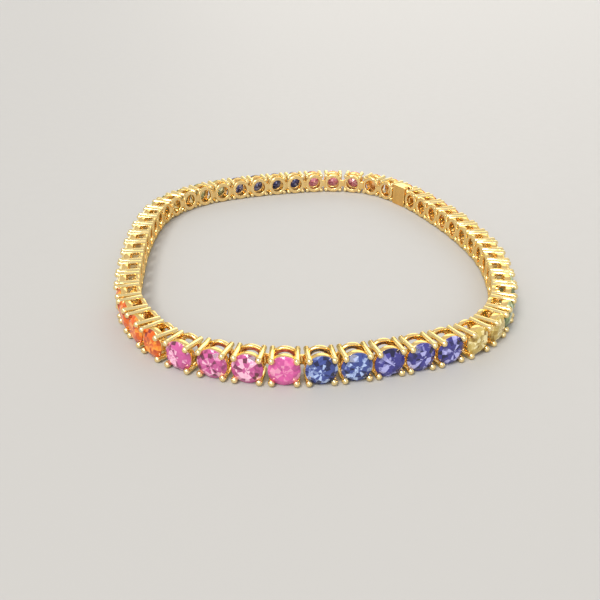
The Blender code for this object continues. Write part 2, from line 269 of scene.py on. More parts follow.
@dataclass(frozen=True)
class GoldFinish:
    """Polished yellow gold with fine hairlines, and painted shade that deepens its colour in
    recesses and between parts.
    """

    name: str = "polished_gold"
    bright: Colour = (1.0, 0.80, 0.40)
    # Gold under half painted shade.
    warm_half_shade: Colour = (0.95, 0.62, 0.22)
    # Gold under the deepest painted shade.
    deep_shade: Colour = (0.58, 0.26, 0.05)
    edge: Colour = (1.0, 0.86, 0.50)
    # How far the painted shade moves the colour down the ramp.
    painted_shade_weight: float = 0.85
    cloud_shade: float = 0.35
    roughness: float = 0.18
    grain_roughness: float = 0.12
    recess_roughness: float = 0.1
    hairline_depth: float = 0.006 * MM

    def material(self) -> bpy.types.Material:
        """Makes the material.

        Returns:
            The gold.
        """
        shader = Shader(self.name)
        place = shader.node("ShaderNodeTexCoord", output="Object")
        cloud = shader.node(
            "ShaderNodeTexNoise", sockets={"Vector": place, "Scale": 900.0, "Detail": 2.0}
        )
        grain = shader.node(
            "ShaderNodeTexNoise", sockets={"Vector": place, "Scale": 7000.0, "Detail": 2.0}
        )
        drawn = shader.node(
            "ShaderNodeMapping", sockets={"Vector": place, "Scale": (1.0, 1.0, 5.0)}
        )
        hairlines = shader.node(
            "ShaderNodeTexNoise", sockets={"Vector": drawn, "Scale": 4200.0, "Detail": 3.0}
        )
        # The painted shade that the mesh carries in its layer.
        recess = shader.node(
            "ShaderNodeAttribute", {"attribute_name": Layer.PAINTED_SHADE.value}, output="Fac"
        )
        # Painted shade, with a random cloud of tone, sets how far the colour goes from bright gold
        # to the deepest painted shade.
        depth = recess * self.painted_shade_weight + (cloud - 0.5) * self.cloud_shade
        colour = shader.node(
            "ShaderNodeValToRGB",
            {"stops": [(0.0, self.bright), (0.45, self.warm_half_shade), (1.0, self.deep_shade)]},
            {"Fac": depth},
            output="Color",
        )
        uneven = (grain - 0.5) * self.grain_roughness + recess * self.recess_roughness
        bump = shader.node(
            "ShaderNodeBump",
            sockets={"Strength": 0.35, "Distance": self.hairline_depth, "Height": hairlines},
            output="Normal",
        )
        return shader.finish(
            {
                "Base Color": colour,
                "Metallic": 1.0,
                "Specular Tint": self.edge,
                "Roughness": self.roughness + uneven,
                "Normal": bump,
            }
        )


@dataclass(frozen=True)
class GemFinish:
    """A cut stone: its body colour, the dark of its far facets and the pale of its flashes.

    The facets that show through the table are painted as light or dark reflections, dealt in wedges
    between octagons whose edges are given as shares of the stone's diameter.
    """

    name: str
    slot: Slot
    body: Colour
    # Painted dark of the far facets' reflections.
    painted_dark: Colour
    # Painted highlight of the flashes.
    painted_flash: Colour
    clearness: float = 0.15
    wedges: int = 16
    heart_edge: float = 0.115
    table_edge: float = 0.272
    rim_edge: float = 0.4
    # Shares of the painted facet reflections, the painted shards and the painted glints.
    painted_facet_share: float = 0.66
    painted_shard_share: float = 0.18
    painted_glint_share: float = 0.16

    def material(self) -> bpy.types.Material:
        """Makes the material.

        Returns:
            The stone's material.
        """
        shader = Shader(self.name)
        front = shader.node("ShaderNodeUVMap", {"uv_map": "front"}, output="UV")
        across = shader.node("ShaderNodeSeparateXYZ", sockets={0: front}, output="X") - 0.5
        up = shader.node("ShaderNodeSeparateXYZ", sockets={0: front}, output="Y") - 0.5
        # Each facet's painted glint.
        glint = shader.node(
            "ShaderNodeAttribute", {"attribute_name": Layer.PAINTED_GLINT.value}, output="Fac"
        )
        tone = shader.node(
            "ShaderNodeAttribute", {"attribute_name": Layer.TONE.value}, output="Fac"
        )
        turn = up.angle(across)
        reach = (across * across + up * up) ** 0.5
        eighth = math.pi / 4
        table = reach * ((turn * (1 / eighth)).fraction() * eighth - eighth / 2).cosine()
        mains = reach * ((turn * (1 / eighth) + 0.5).fraction() * eighth - eighth / 2).cosine()
        heart = mains.above(self.heart_edge) * 2.0
        zone = table.above(self.table_edge) * 3.0 + heart + mains.above(self.rim_edge)
        wedge = (turn * (self.wedges / (2 * math.pi))).whole()
        facet = shader.node(
            "ShaderNodeCombineXYZ", sockets={"X": wedge, "Y": zone, "Z": tone * 61.0}
        )
        # Painted reflections of the facets seen through the table: a random brightness dealt to
        # each wedge and zone, then shards.
        painted_facets = shader.node("ShaderNodeTexWhiteNoise", {"noise_dimensions": "3D"}, {"Vector": facet})
        painted_shards = shader.node(
            "ShaderNodeTexVoronoi",
            {"voronoi_dimensions": "4D"},
            {"Vector": front, "W": tone * 9.0, "Scale": 8.0, "Randomness": 1.0},
            output="Color",
        )
        painted_shard = shader.node("ShaderNodeSeparateColor", sockets={"Color": painted_shards}, output="Red")
        # Painted light and dark of the reflections and of each facet's glint.
        light = painted_facets * self.painted_facet_share + painted_shard * self.painted_shard_share + glint * self.painted_glint_share
        # Painted dark below the body colour, painted flash highlight above it.
        stops = [(0.2, self.painted_dark), (0.4, self.body), (0.62, self.body), (0.78, self.painted_flash)]
        colour = shader.node(
            "ShaderNodeValToRGB", {"stops": stops}, {"Fac": light}, output="Color"
        )
        cloud = shader.node(
            "ShaderNodeTexNoise", sockets={"Vector": front, "Scale": 14.0, "Detail": 3.0}
        )
        return shader.finish(
            {
                "Base Color": colour,
                "Roughness": 0.03 + cloud * 0.05,
                "IOR": 1.77,
                "Specular IOR Level": 0.35,
                "Transmission Weight": self.clearness,
                # A faint painted glow in the stone's own colour, standing in for light bounced
                # inside it.
                "Emission Color": colour,
                "Emission Strength": 0.06,
            }
        )


@dataclass(frozen=True)
class FloorFinish:
    """A plain pale table top."""

    name: str = "pale_table"
    colour: Colour = (0.47, 0.463, 0.452)

    def material(self) -> bpy.types.Material:
        """Makes the material.

        Returns:
            The table's material.
        """
        shader = Shader(self.name)
        place = shader.node("ShaderNodeTexCoord", output="Object")
        cloud = shader.node(
            "ShaderNodeTexNoise", sockets={"Vector": place, "Scale": 400.0, "Detail": 4.0}
        )
        return shader.finish(
            {"Base Color": self.colour, "Roughness": 0.55 + cloud * 0.15}
        )


class Form:
    """Shared mesh work: turned rings, blocks, plates, cuts, placed copies and finished pieces."""

    @staticmethod
    def turned(profile: list[Point], steps: int, closed: bool) -> bmesh.types.BMesh:
        """Turns a profile about Z.

        Args:
            profile: The (radius, height) points.
            steps: Facets round the axis.
            closed: Whether the profile's last point joins its first.

        Returns:
            The turned mesh.
        """
        shape = bmesh.new()
        points = [shape.verts.new((radius, 0.0, height)) for radius, height in profile]
        edges = [shape.edges.new(pair) for pair in zip(points, points[1:])]
        if closed:
            edges.append(shape.edges.new((points[-1], points[0])))
        bmesh.ops.spin(
            shape,
            geom=points + edges,
            cent=(0.0, 0.0, 0.0),
            axis=(0.0, 0.0, 1.0),
            angle=2 * math.pi,
            steps=steps,
            use_merge=True,
        )
        bmesh.ops.remove_doubles(shape, verts=shape.verts, dist=WELD)
        bmesh.ops.recalc_face_normals(shape, faces=shape.faces)
        return shape

    @staticmethod
    def block(low: Vector, high: Vector, rounding: float, segments: int = 2) -> bmesh.types.BMesh:
        """A block with rounded edges.

        Args:
            low: Its lowest corner.
            high: Its highest corner.
            rounding: The width of its rounded edges.
            segments: Facets across a rounded edge.

        Returns:
            The block's mesh.
        """
        shape = bmesh.new()
        bmesh.ops.create_cube(shape, size=1.0)
        bmesh.ops.scale(shape, vec=high - low, verts=shape.verts)
        bmesh.ops.translate(shape, vec=(high + low) / 2, verts=shape.verts)
        Form.round_edges(shape, list(shape.edges), rounding, segments)
        return shape

    @staticmethod
    def round_edges(
        shape: bmesh.types.BMesh, edges: list[bmesh.types.BMEdge], rounding: float, segments: int
    ) -> None:
        """Rounds edges with a bevel.

        Args:
            shape: The mesh that they belong to.
            edges: The edges to round.
            rounding: The width of the bevel.
            segments: Facets across it.
        """
        bmesh.ops.bevel(
            shape,
            geom=edges,
            offset=rounding,
            offset_type="OFFSET",
            affect="EDGES",
            segments=segments,
            profile=0.5,
            material=-1,
            clamp_overlap=True,
        )

    @staticmethod
    def plate(outline: list[Point], low: float, high: float, rounding: float) -> bmesh.types.BMesh:
        """A flat plate of an outline.

        Args:
            outline: Its corners in X and Y, anticlockwise.
            low: The level of its lower face.
            high: The level of its upper face.
            rounding: The width of its rounded edges, 0 for sharp ones.

        Returns:
            The plate's mesh.
        """
        shape = bmesh.new()
        face = shape.faces.new([shape.verts.new((x, y, low)) for x, y in outline])
        made = bmesh.ops.extrude_face_region(shape, geom=[face])["geom"]
        top = [item for item in made if isinstance(item, bmesh.types.BMVert)]
        bmesh.ops.translate(shape, vec=(0.0, 0.0, high - low), verts=top)
        bmesh.ops.recalc_face_normals(shape, faces=shape.faces)
        if rounding:
            Form.round_edges(shape, list(shape.edges), rounding, 2)
        return shape

    @staticmethod
    def cut_off(
        shape: bmesh.types.BMesh, point: Vector, outwards: Vector, near: float = WELD
    ) -> None:
        """Cuts off what lies beyond a plane and closes the cut.

        Args:
            shape: The shape to cut.
            point: A point on the plane.
            outwards: The plane's direction towards what is cut off.
            near: How near to the plane a point counts as on it.
        """
        bmesh.ops.bisect_plane(
            shape,
            geom=list(shape.verts) + list(shape.edges) + list(shape.faces),
            dist=near,
            plane_co=point,
            plane_no=outwards,
            clear_outer=True,
        )
        open_edges = [edge for edge in shape.edges if edge.is_boundary]
        bmesh.ops.holes_fill(shape, edges=open_edges, sides=0)

    @staticmethod
    def keep_above(mesh: bpy.types.Mesh, level: float, name: str) -> bpy.types.Mesh:
        """Cuts off what lies below a level and closes the cut.

        Args:
            mesh: The mesh to cut.
            level: The level of the cut.
            name: The new mesh's name.

        Returns:
            The part above the level.
        """
        shape = bmesh.new()
        shape.from_mesh(mesh)
        Form.cut_off(shape, Vector((0.0, 0.0, level)), Vector((0.0, 0.0, -1.0)))
        bmesh.ops.recalc_face_normals(shape, faces=shape.faces)
        return Form.stored(shape, name)

    @staticmethod
    def stored(shape: bmesh.types.BMesh, name: str, smooth: bool = False) -> bpy.types.Mesh:
        """Stores a mesh and frees the shape that it was made in.

        Args:
            shape: The shape.
            name: The mesh's name.
            smooth: Whether all its faces are shaded smooth.

        Returns:
            The stored mesh.
        """
        if smooth:
            for face in shape.faces:
                face.smooth = True
        mesh = bpy.data.meshes.new(name)
        shape.to_mesh(mesh)
        shape.free()
        return mesh

    @staticmethod
    def facing(point: Vector, along: Vector) -> Matrix:
        """Gives the place of something in the row.

        Args:
            point: Where it stands.
            along: The row's direction there.

        Returns:
            The place's matrix, its X along the row, its Y up and its Z outwards.
        """
        up = Vector((0.0, 0.0, 1.0))
        turn = Matrix((along, up, along.cross(up))).transposed().to_4x4()
        return Matrix.Translation(point) @ turn

    @staticmethod
    def number(shape: bmesh.types.BMesh, layer: Layer) -> bmesh.types.BMLayerItem:
        """The shape's face layer of this name, made if it isn't there."""
        layers = shape.faces.layers.float
        return layers.get(layer.value) or layers.new(layer.value)

    @staticmethod
    def gathered(name: str, copies: list[Copy], layer: Layer) -> bpy.types.Mesh:
        """Gathers placed copies in one mesh.

        Args:
            name: The mesh's name.
            copies: The copies.
            layer: The layer that each copy's number is added to.

        Returns:
            The gathered mesh.
        """
        whole = bmesh.new()
        for mesh, matrix, amount in copies:
            points = len(whole.verts)
            faces = len(whole.faces)
            whole.from_mesh(mesh)
            whole.verts.ensure_lookup_table()
            whole.faces.ensure_lookup_table()
            bmesh.ops.transform(whole, matrix=matrix, verts=whole.verts[points:])
            key = Form.number(whole, layer)
            for face in whole.faces[faces:]:
                face[key] += amount
        return Form.stored(whole, name)

    @staticmethod
    def piece(
        name: str, mesh: bpy.types.Mesh, finish: bpy.types.Material, slot: Slot, *nodes: str
    ) -> bpy.types.Object:
        """Puts a finished piece in the scene.

        Args:
            name: The piece's name.
            mesh: Its mesh, in place.
            finish: Its material.
            slot: The record's slot for its finish; not used.
            nodes: The CAD nodes that it stands for.

        Returns:
            The piece.
        """
        obj = bpy.data.objects.new(name, mesh)
        bpy.context.scene.collection.objects.link(obj)
        mesh.materials.clear()
        mesh.materials.append(finish)
        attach(obj, "root")
        if nodes:
            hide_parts(*nodes)
        log.info("%s: %d faces", name, len(mesh.polygons))
        return obj


@dataclass
class Stone:
    """A round brilliant-cut stone, cut plane by plane from a round blank."""

    diameter: float = 3.42 * MM
    table: float = 2.02 * MM
    crown: float = 0.48 * MM
    girdle: float = 0.05 * MM
    girdle_level: float = 2.5 * MM
    main_tilt: float = 41.0
    lower_tilt: float = 43.0
    star_tilt: float = 21.0
    upper_tilt: float = 43.0
    blank_sides: int = 32
    seed: int = 7

    def mesh(self, name: str) -> bpy.types.Mesh:
        """Cuts the stone.

        Args:
            name: The mesh's name.

        Returns:
            The stone's mesh, with its front map and its facets' glints.
        """
        radius = self.diameter / 2
        depth = radius * math.tan(math.radians(self.main_tilt)) + self.girdle
        shape = bmesh.new()
        bmesh.ops.create_cone(
            shape,
            cap_ends=True,
            segments=self.blank_sides,
            radius1=radius,
            radius2=radius,
            depth=depth + self.crown,
        )
        level = self.girdle_level + (self.crown - depth) / 2
        bmesh.ops.translate(shape, vec=(0.0, 0.0, level), verts=shape.verts)
        top = self.girdle_level
        bottom = top - self.girdle
        corner = self.table / 2
        bezel = math.degrees(math.atan2(self.crown, radius - corner))
        for k in range(8):
            middle = 45.0 * k
            half = middle + 22.5
            flat = corner * math.cos(math.radians(22.5))
            self._facet(shape, middle, bezel, radius, top, 1)
            self._facet(shape, half, self.star_tilt, flat, top + self.crown, 1)
            self._facet(shape, middle, self.main_tilt, radius, bottom, -1)
            for side in (11.25, 33.75):
                self._facet(shape, middle + side, self.upper_tilt, radius, top, 1)
                self._facet(shape, middle + side, self.lower_tilt, radius, bottom, -1)
        bmesh.ops.dissolve_degenerate(shape, edges=shape.edges, dist=WELD)
        bmesh.ops.recalc_face_normals(shape, faces=shape.faces)
        self._mark(shape)
        return Form.stored(shape, name)

    def _facet(
        self,
        shape: bmesh.types.BMesh,
        angle: float,
        tilt: float,
        reach: float,
        level: float,
        side: int,
    ) -> None:
        """Grinds one facet.

        Args:
            shape: The stone so far.
            angle: Where round the axis the facet faces, in degrees.
            tilt: Its slope from flat, in degrees.
            reach: How far from the axis it passes the level.
            level: The level that it passes there.
            side: 1 on the crown and -1 on the pavilion.
        """
        turn = math.radians(angle)
        slope = math.radians(tilt)
        out = Vector((math.cos(turn), math.sin(turn), 0.0))
        normal = out * math.sin(slope) + Vector((0.0, 0.0, side * math.cos(slope)))
        place = out * reach + Vector((0.0, 0.0, level))
        Form.cut_off(shape, place, normal, WELD / 10)

    def _mark(self, shape: bmesh.types.BMesh) -> None:
        """Maps the stone from the front and gives each facet its own painted glint, a random
        brightness.

        Args:
            shape: The cut stone.
        """
        chance = random.Random(self.seed)
        uv = shape.loops.layers.uv.new("front")
        glint = Form.number(shape, Layer.PAINTED_GLINT)
        Form.number(shape, Layer.TONE)
        for face in shape.faces:
            face[glint] = chance.random()
            for loop in face.loops:
                where = loop.vert.co / self.diameter
                loop[uv].uv = (where.x + 0.5, where.y + 0.5)


@dataclass
class Setting:
    """The gold of one setting: gallery ring, seat rail and four prongs with round tips."""

    stone: Stone = field(default_factory=Stone)
    rail_inset: float = 0.05 * MM
    ring_height: float = 0.5 * MM
    ring_wall: float = 0.62 * MM
    basket_opening: float = 1.15 * MM
    rail_wall: float = 0.36 * MM
    seat_bore: float = 1.02 * MM
    prong_width: float = 0.46 * MM
    prong_depth: float = 0.44 * MM
    wire_radius: float = 0.32 * MM
    wire_inset: float = 0.24 * MM
    wire_foot: float = 0.02 * MM
    tip_radius: float = 0.38 * MM
    tip_rise: float = 0.68 * MM
    tip_gap: float = 0.152 * MM
    rail_proud: float = 0.02 * MM
    rail_drop: float = 0.06 * MM
    slope_drop: float = 0.26 * MM
    rounding: float = 0.08 * MM
    ring_steps: int = 28
    wire_sides: int = 10
    # Painted shade on the gallery ring, on the seat rail and on the faces that look into the
    # basket.
    ring_painted_shade: float = 0.25
    rail_painted_shade: float = 0.35
    inside_painted_shade: float = 0.35
    inside_facing: float = 0.5

    @property
    def rail_radius(self) -> float:
        """The outer radius of the gallery ring and the seat rail."""
        return self.stone.diameter / 2 - self.rail_inset

    @property
    def prong_outer(self) -> float:
        """How far from the setting's axis the prongs reach."""
        return self.rail_radius + self.prong_depth

    @property
    def seat_level(self) -> float:
        """The level of the seat rail's wrist side."""
        return self.ring_height + self.basket_opening

    @property
    def half_width(self) -> float:
        """Half the height of the setting, over its prongs."""
        lean = math.asin(self.prong_width / 2 / self.rail_radius)
        return self.prong_outer * math.sin(math.radians(45) + lean)

    @property
    def pitch(self) -> float:
        """The step from one setting to the next."""
        return 2 * self.half_width + self.tip_gap

    def mesh(self, name: str) -> bpy.types.Mesh:
        """Makes the gold of one setting.

        Args:
            name: The mesh's name.

        Returns:
            The setting's mesh.
        """
        whole = bmesh.new()
        # Painted shade on the ring and the rail, none on the prongs.
        for shape, recess in (
            (self._ring(), self.ring_painted_shade),
            (self._rail(), self.rail_painted_shade),
            (self._prongs(), 0.0),
        ):
            key = Form.number(shape, Layer.PAINTED_SHADE)
            for face in shape.faces:
                face[key] = recess
            part = Form.stored(shape, "part")
            whole.from_mesh(part)
            bpy.data.meshes.remove(part)
        self._paint_inside_shade(whole)
        return Form.stored(whole, name, smooth=True)

    def _ring(self) -> bmesh.types.BMesh:
        """Turns the gallery ring at the wrist side.

        Returns:
            The ring's mesh.
        """
        outer = self.rail_radius
        inner = outer - self.ring_wall
        soft = self.rounding
        high = self.ring_height
        profile = [
            (outer, high - soft),
            (outer - soft, high),
            (inner + soft, high),
            (inner, high - soft),
            (inner, soft * 1.6),
            (inner + soft * 0.5, soft * 0.5),
            (inner + soft * 1.6, 0.0),
            (outer - soft * 1.8, 0.0),
            (outer - soft * 0.6, soft * 0.5),
            (outer, soft * 1.8),
        ]
        return Form.turned(profile, self.ring_steps, True)

    def _rail(self) -> bmesh.types.BMesh:
        """Turns the seat rail, whose inner side slopes as the stone does.

        Returns:
            The rail's mesh.
        """
        outer = self.rail_radius + self.rail_proud
        inner = outer - self.rail_wall
        low = self.seat_level
        high = self.stone.girdle_level - self.rail_drop
        soft = self.rounding
        profile = [
            (outer, high - soft),
            (outer - soft, high),
            (outer - soft * 1.8, high - soft * 0.4),
            (inner, high - self.slope_drop),
            (self.seat_bore, low + soft),
            (self.seat_bore + soft, low),
            (outer - soft, low),
            (outer, low + soft),
        ]
        return Form.turned(profile, self.ring_steps, True)

    def _prongs(self) -> bmesh.types.BMesh:
        """Turns a prong, a round wire that ends in a ball over the stone's edge, and sets four.

        Returns:
            The prongs' mesh.
        """
        wire = self.wire_radius
        top = self.stone.girdle_level + self.tip_rise
        ball = self.tip_radius
        profile = [
            (0.0, self.wire_foot),
            (wire * 0.75, self.wire_foot),
            (wire, self.wire_foot + self.rounding),
            (wire, top - 2.4 * ball),
            (ball * 0.88, top - 1.7 * ball),
            (ball, top - ball),
            (ball * 0.84, top - 0.44 * ball),
            (ball * 0.48, top - 0.1 * ball),
            (0.0, top),
        ]
        prong = Form.stored(Form.turned(profile, self.wire_sides, False), "prong")
        four = bmesh.new()
        for angle in (45, 135, 225, 315):
            points = len(four.verts)
            four.from_mesh(prong)
            four.verts.ensure_lookup_table()
            place = Matrix.Rotation(math.radians(angle), 4, "Z") @ Matrix.Translation(
                (self.prong_outer - self.wire_inset, 0.0, 0.0)
            )
            bmesh.ops.transform(four, matrix=place, verts=four.verts[points:])
        bpy.data.meshes.remove(prong)
        return four

    def _paint_inside_shade(self, shape: bmesh.types.BMesh) -> None:
        """Adds painted shade to the faces below the girdle that look into the basket.

        Args:
            shape: The setting's gold.
        """
        key = Form.number(shape, Layer.PAINTED_SHADE)
        for face in shape.faces:
            centre = face.calc_center_median()
            inwards = -face.normal.dot(Vector((centre.x, centre.y, 0.0)).normalized())
            if inwards > self.inside_facing and centre.z < self.stone.girdle_level:
                face[key] += self.inside_painted_shade


@dataclass
class Link:
    """The connector between two neighbouring gallery rings."""

    setting: Setting
    height: float = 1.2 * MM
    inset: float = 0.08 * MM
    bite: float = 0.3 * MM
    waist: float = 0.86
    rounding: float = 0.09 * MM
    # Painted shade on the connector, which sits between the settings.
    recess: float = 0.4

    def copy(self, start: Matrix, end: Matrix) -> Copy:
        """Makes the connector between two places.

        Args:
            start: The first setting's place.
            end: The next setting's place.

        Returns:
            The connector's mesh, its place, and how much painted shade it gets.
        """
        step = end.translation - start.translation
        reach = step.length / 2 - self.setting.rail_radius + self.bite
        half = self.height / 2
        low = Vector((-reach, -half, self.inset))
        high = Vector((reach, half, self.setting.ring_height - self.inset))
        shape = Form.block(low, high, self.rounding)
        for vertex in shape.verts:
            vertex.co.y *= self.waist + (1 - self.waist) * abs(vertex.co.x) / reach
        place = Form.facing((start.translation + end.translation) / 2, step.normalized())
        return Form.stored(shape, "link", smooth=True), place, self.recess


@dataclass
class Row:
    """The closed row: where each place stands, one pitch apart along the loop's line.

    The route is drawn about its own middle, in shares of the loop's length from front to back,
    and its first point is the front place. The shift stands the bracelet on the table, centred.
    """

    pitch: float
    count: int = 51
    clasp: int = 21
    right_first: int = 47
    shift: Vector = field(
        default_factory=lambda: Vector((-0.06348 * MM, 0.01333 * MM, 1.71634 * MM))
    )
    steps: int = 24
    rounds: int = 48
    route: list[Point] = field(
        default_factory=lambda: [
            (-0.047, -0.500),
            (0.119, -0.471),
            (0.272, -0.402),
            (0.339, -0.314),
            (0.371, -0.206),
            (0.384, -0.038),
            (0.355, 0.129),
            (0.301, 0.288),
            (0.252, 0.390),
            (0.179, 0.474),
            (0.072, 0.500),
            (-0.093, 0.466),
            (-0.247, 0.397),
            (-0.329, 0.321),
            (-0.374, 0.219),
            (-0.382, 0.051),
            (-0.367, -0.117),
            (-0.337, -0.283),
            (-0.287, -0.384),
            (-0.208, -0.462),
        ]
    )

    def matrices(self) -> list[Matrix]:
        """Places every setting.

        Returns:
            The matrix of each place.
        """
        line = self._line()
        around = sum((line[i] - line[i - 1]).length for i in range(len(line)))
        low = around / self.count / 2
        high = around / self.count
        for _ in range(self.rounds):
            chord = (low + high) / 2
            _, reached = self._walk(line, chord)
            if reached < len(line):
                low = chord
            else:
                high = chord
        found, _ = self._walk(line, low)
        points = [point * (self.pitch / low) for point in found]
        made = []
        for i, point in enumerate(points):
            along = (points[(i + 1) % self.count] - points[i - 1]).normalized()
            made.append(Form.facing(point + self.shift, along))
        return made

    @property
    def right(self) -> list[int]:
        """The places of the right line, which runs past the front place to the clasp."""
        return list(range(self.right_first, self.count)) + list(range(self.clasp))

    @property
    def left(self) -> list[int]:
        """The places of the left line, from the clasp on."""
        return list(range(self.clasp + 1, self.right_first))

    @staticmethod
    def middle(matrices: list[Matrix]) -> Vector:
        """Finds the point on the table under the middle of the row.

        Args:
            matrices: Every place of the row.

        Returns:
            The point.
        """
        spots = [matrix.translation for matrix in matrices]
        spans = [[spot[axis] for spot in spots] for axis in range(2)]
        return Vector([(min(span) + max(span)) / 2 for span in spans] + [0.0])

    def _line(self) -> list[Vector]:
        """Draws the route as a dense closed line through its points.

        Returns:
            The line's points.
        """
        points = [Vector((*share, 0.0)) for share in self.route]
        count = len(points)
        headings = [
            (points[(i + 1) % count] - points[i - 1]).normalized() for i in range(count)
        ]
        line = []
        for i in range(count):
            start = points[i]
            end = points[(i + 1) % count]
            reach = (end - start).length / 3
            first = start + headings[i] * reach
            second = end - headings[(i + 1) % count] * reach
            line += interpolate_bezier(start, first, second, end, self.steps + 1)[:-1]
        return line

    def _walk(self, line: list[Vector], chord: float) -> tuple[list[Vector], float]:
        """Steps round the line.

        Args:
            line: The dense closed line.
            chord: The length of a step.

        Returns:
            The points, and how far round the line the last step ends.
        """
        count = len(line)
        here = line[0]
        at = 0
        low = 0.0
        found = []
        for _ in range(self.count):
            found.append(here)
            while (line[(at + 1) % count] - here).length < chord:
                at += 1
            start = line[at % count]
            step = line[(at + 1) % count] - start
            low = 0.0
            high = 1.0
            for _ in range(self.rounds):
                middle = (low + high) / 2
                if (start + step * middle - here).length < chord:
                    low = middle
                else:
                    high = middle
            here = start + step * low
        return found, at + low


@dataclass
class EndHook:
    """A hook that holds a neighbour's gallery ring from inside."""

    setting: Setting
    gap: float = 0.25 * MM
    thickness: float = 0.34 * MM
    width: float = 1.0 * MM
    lip: float = 0.34 * MM
    root_inset: float = 0.03 * MM
    rounding: float = 0.07 * MM
    # Painted shade on the hook and on its root.
    recess: float = 0.3

    @property
    def level(self) -> float:
        """The level of the hook's arm."""
        return self.setting.ring_height + self.gap

    def mesh(self, side: int, reach: float) -> bpy.types.Mesh:
        """Makes a hook.

        Args:
            side: 1 where its arm runs along +X and -1 along -X.
            reach: How far from the held setting's axis the arm ends.

        Returns:
            The hook's mesh.
        """
        outer = self.setting.rail_radius - self.setting.ring_wall - self.gap
        inner = outer - self.lip
        foot = self.setting.ring_height / 2
        top = self.level + self.thickness
        outline = [
            (inner, foot),
            (outer, foot),
            (outer, self.level),
            (reach, self.level),
            (reach, top),
            (inner, top),
        ]
        half = self.width / 2
        placed = [(side * x, y) for x, y in outline]
        shape = Form.plate(placed, -half, half, self.rounding)
        upright = Matrix.Rotation(math.radians(90), 4, "X")
        bmesh.ops.transform(shape, matrix=upright, verts=shape.verts)
        return Form.stored(shape, "hook", smooth=True)

    def root(self, link: Link) -> bpy.types.Mesh:
        """Makes the block on the last ring of a line that the line's end hook grows from.

        Args:
            link: The connector whose height and bite the block shares.

        Returns:
            The block's mesh.
        """
        outer = self.setting.rail_radius - self.root_inset
        inner = self.setting.rail_radius - link.bite
        half = link.height / 2
        top = self.level + self.thickness + link.bite / 3
        low = Vector((inner, -half, self.setting.ring_height / 2))
        shape = Form.block(low, Vector((outer, half, top)), self.rounding)
        return Form.stored(shape, "root", smooth=True)

    def line_end(self, link: Link, last: Matrix, following: Matrix) -> list[Copy]:
        """Makes the root on a line's last ring and the hook in the next line's first ring.

        Args:
            link: The connector that the line is joined by.
            last: The line's last place.
            following: The next line's first place.

        Returns:
            The placed hook and root.
        """
        arm = self.mesh(-1, self.setting.pitch - self.setting.rail_radius + link.bite)
        return [(arm, following, self.recess), (self.root(link), last, self.recess)]


@dataclass
class StoneRun:
    """Neighbouring stones of one colour."""

    name: str
    first: int
    count: int
    finish: GemFinish


@dataclass
class StoneLine:
    """One line of settings, joined by their links."""

    name: str
    node: Node
    places: list[int]
    setting: Setting
    link: Link

    def build(
        self, matrices: list[Matrix], gold: bpy.types.Material, extras: list[Copy]
    ) -> bpy.types.Object:
        """Makes the line's gold.

        Args:
            matrices: Every place of the row.
            gold: The gold.
            extras: More copies that belong to this line.

        Returns:
            The line's gold piece.
        """
        one = self.setting.mesh(self.name + "_setting")
        copies = [(one, matrices[place], 0.0) for place in self.places]
        for start, end in zip(self.places, self.places[1:]):
            copies.append(self.link.copy(matrices[start], matrices[end]))
        mesh = Form.gathered(self.name, copies + extras, Layer.PAINTED_SHADE)
        return Form.piece(self.name, mesh, gold, Slot.GOLD, self.node.value)


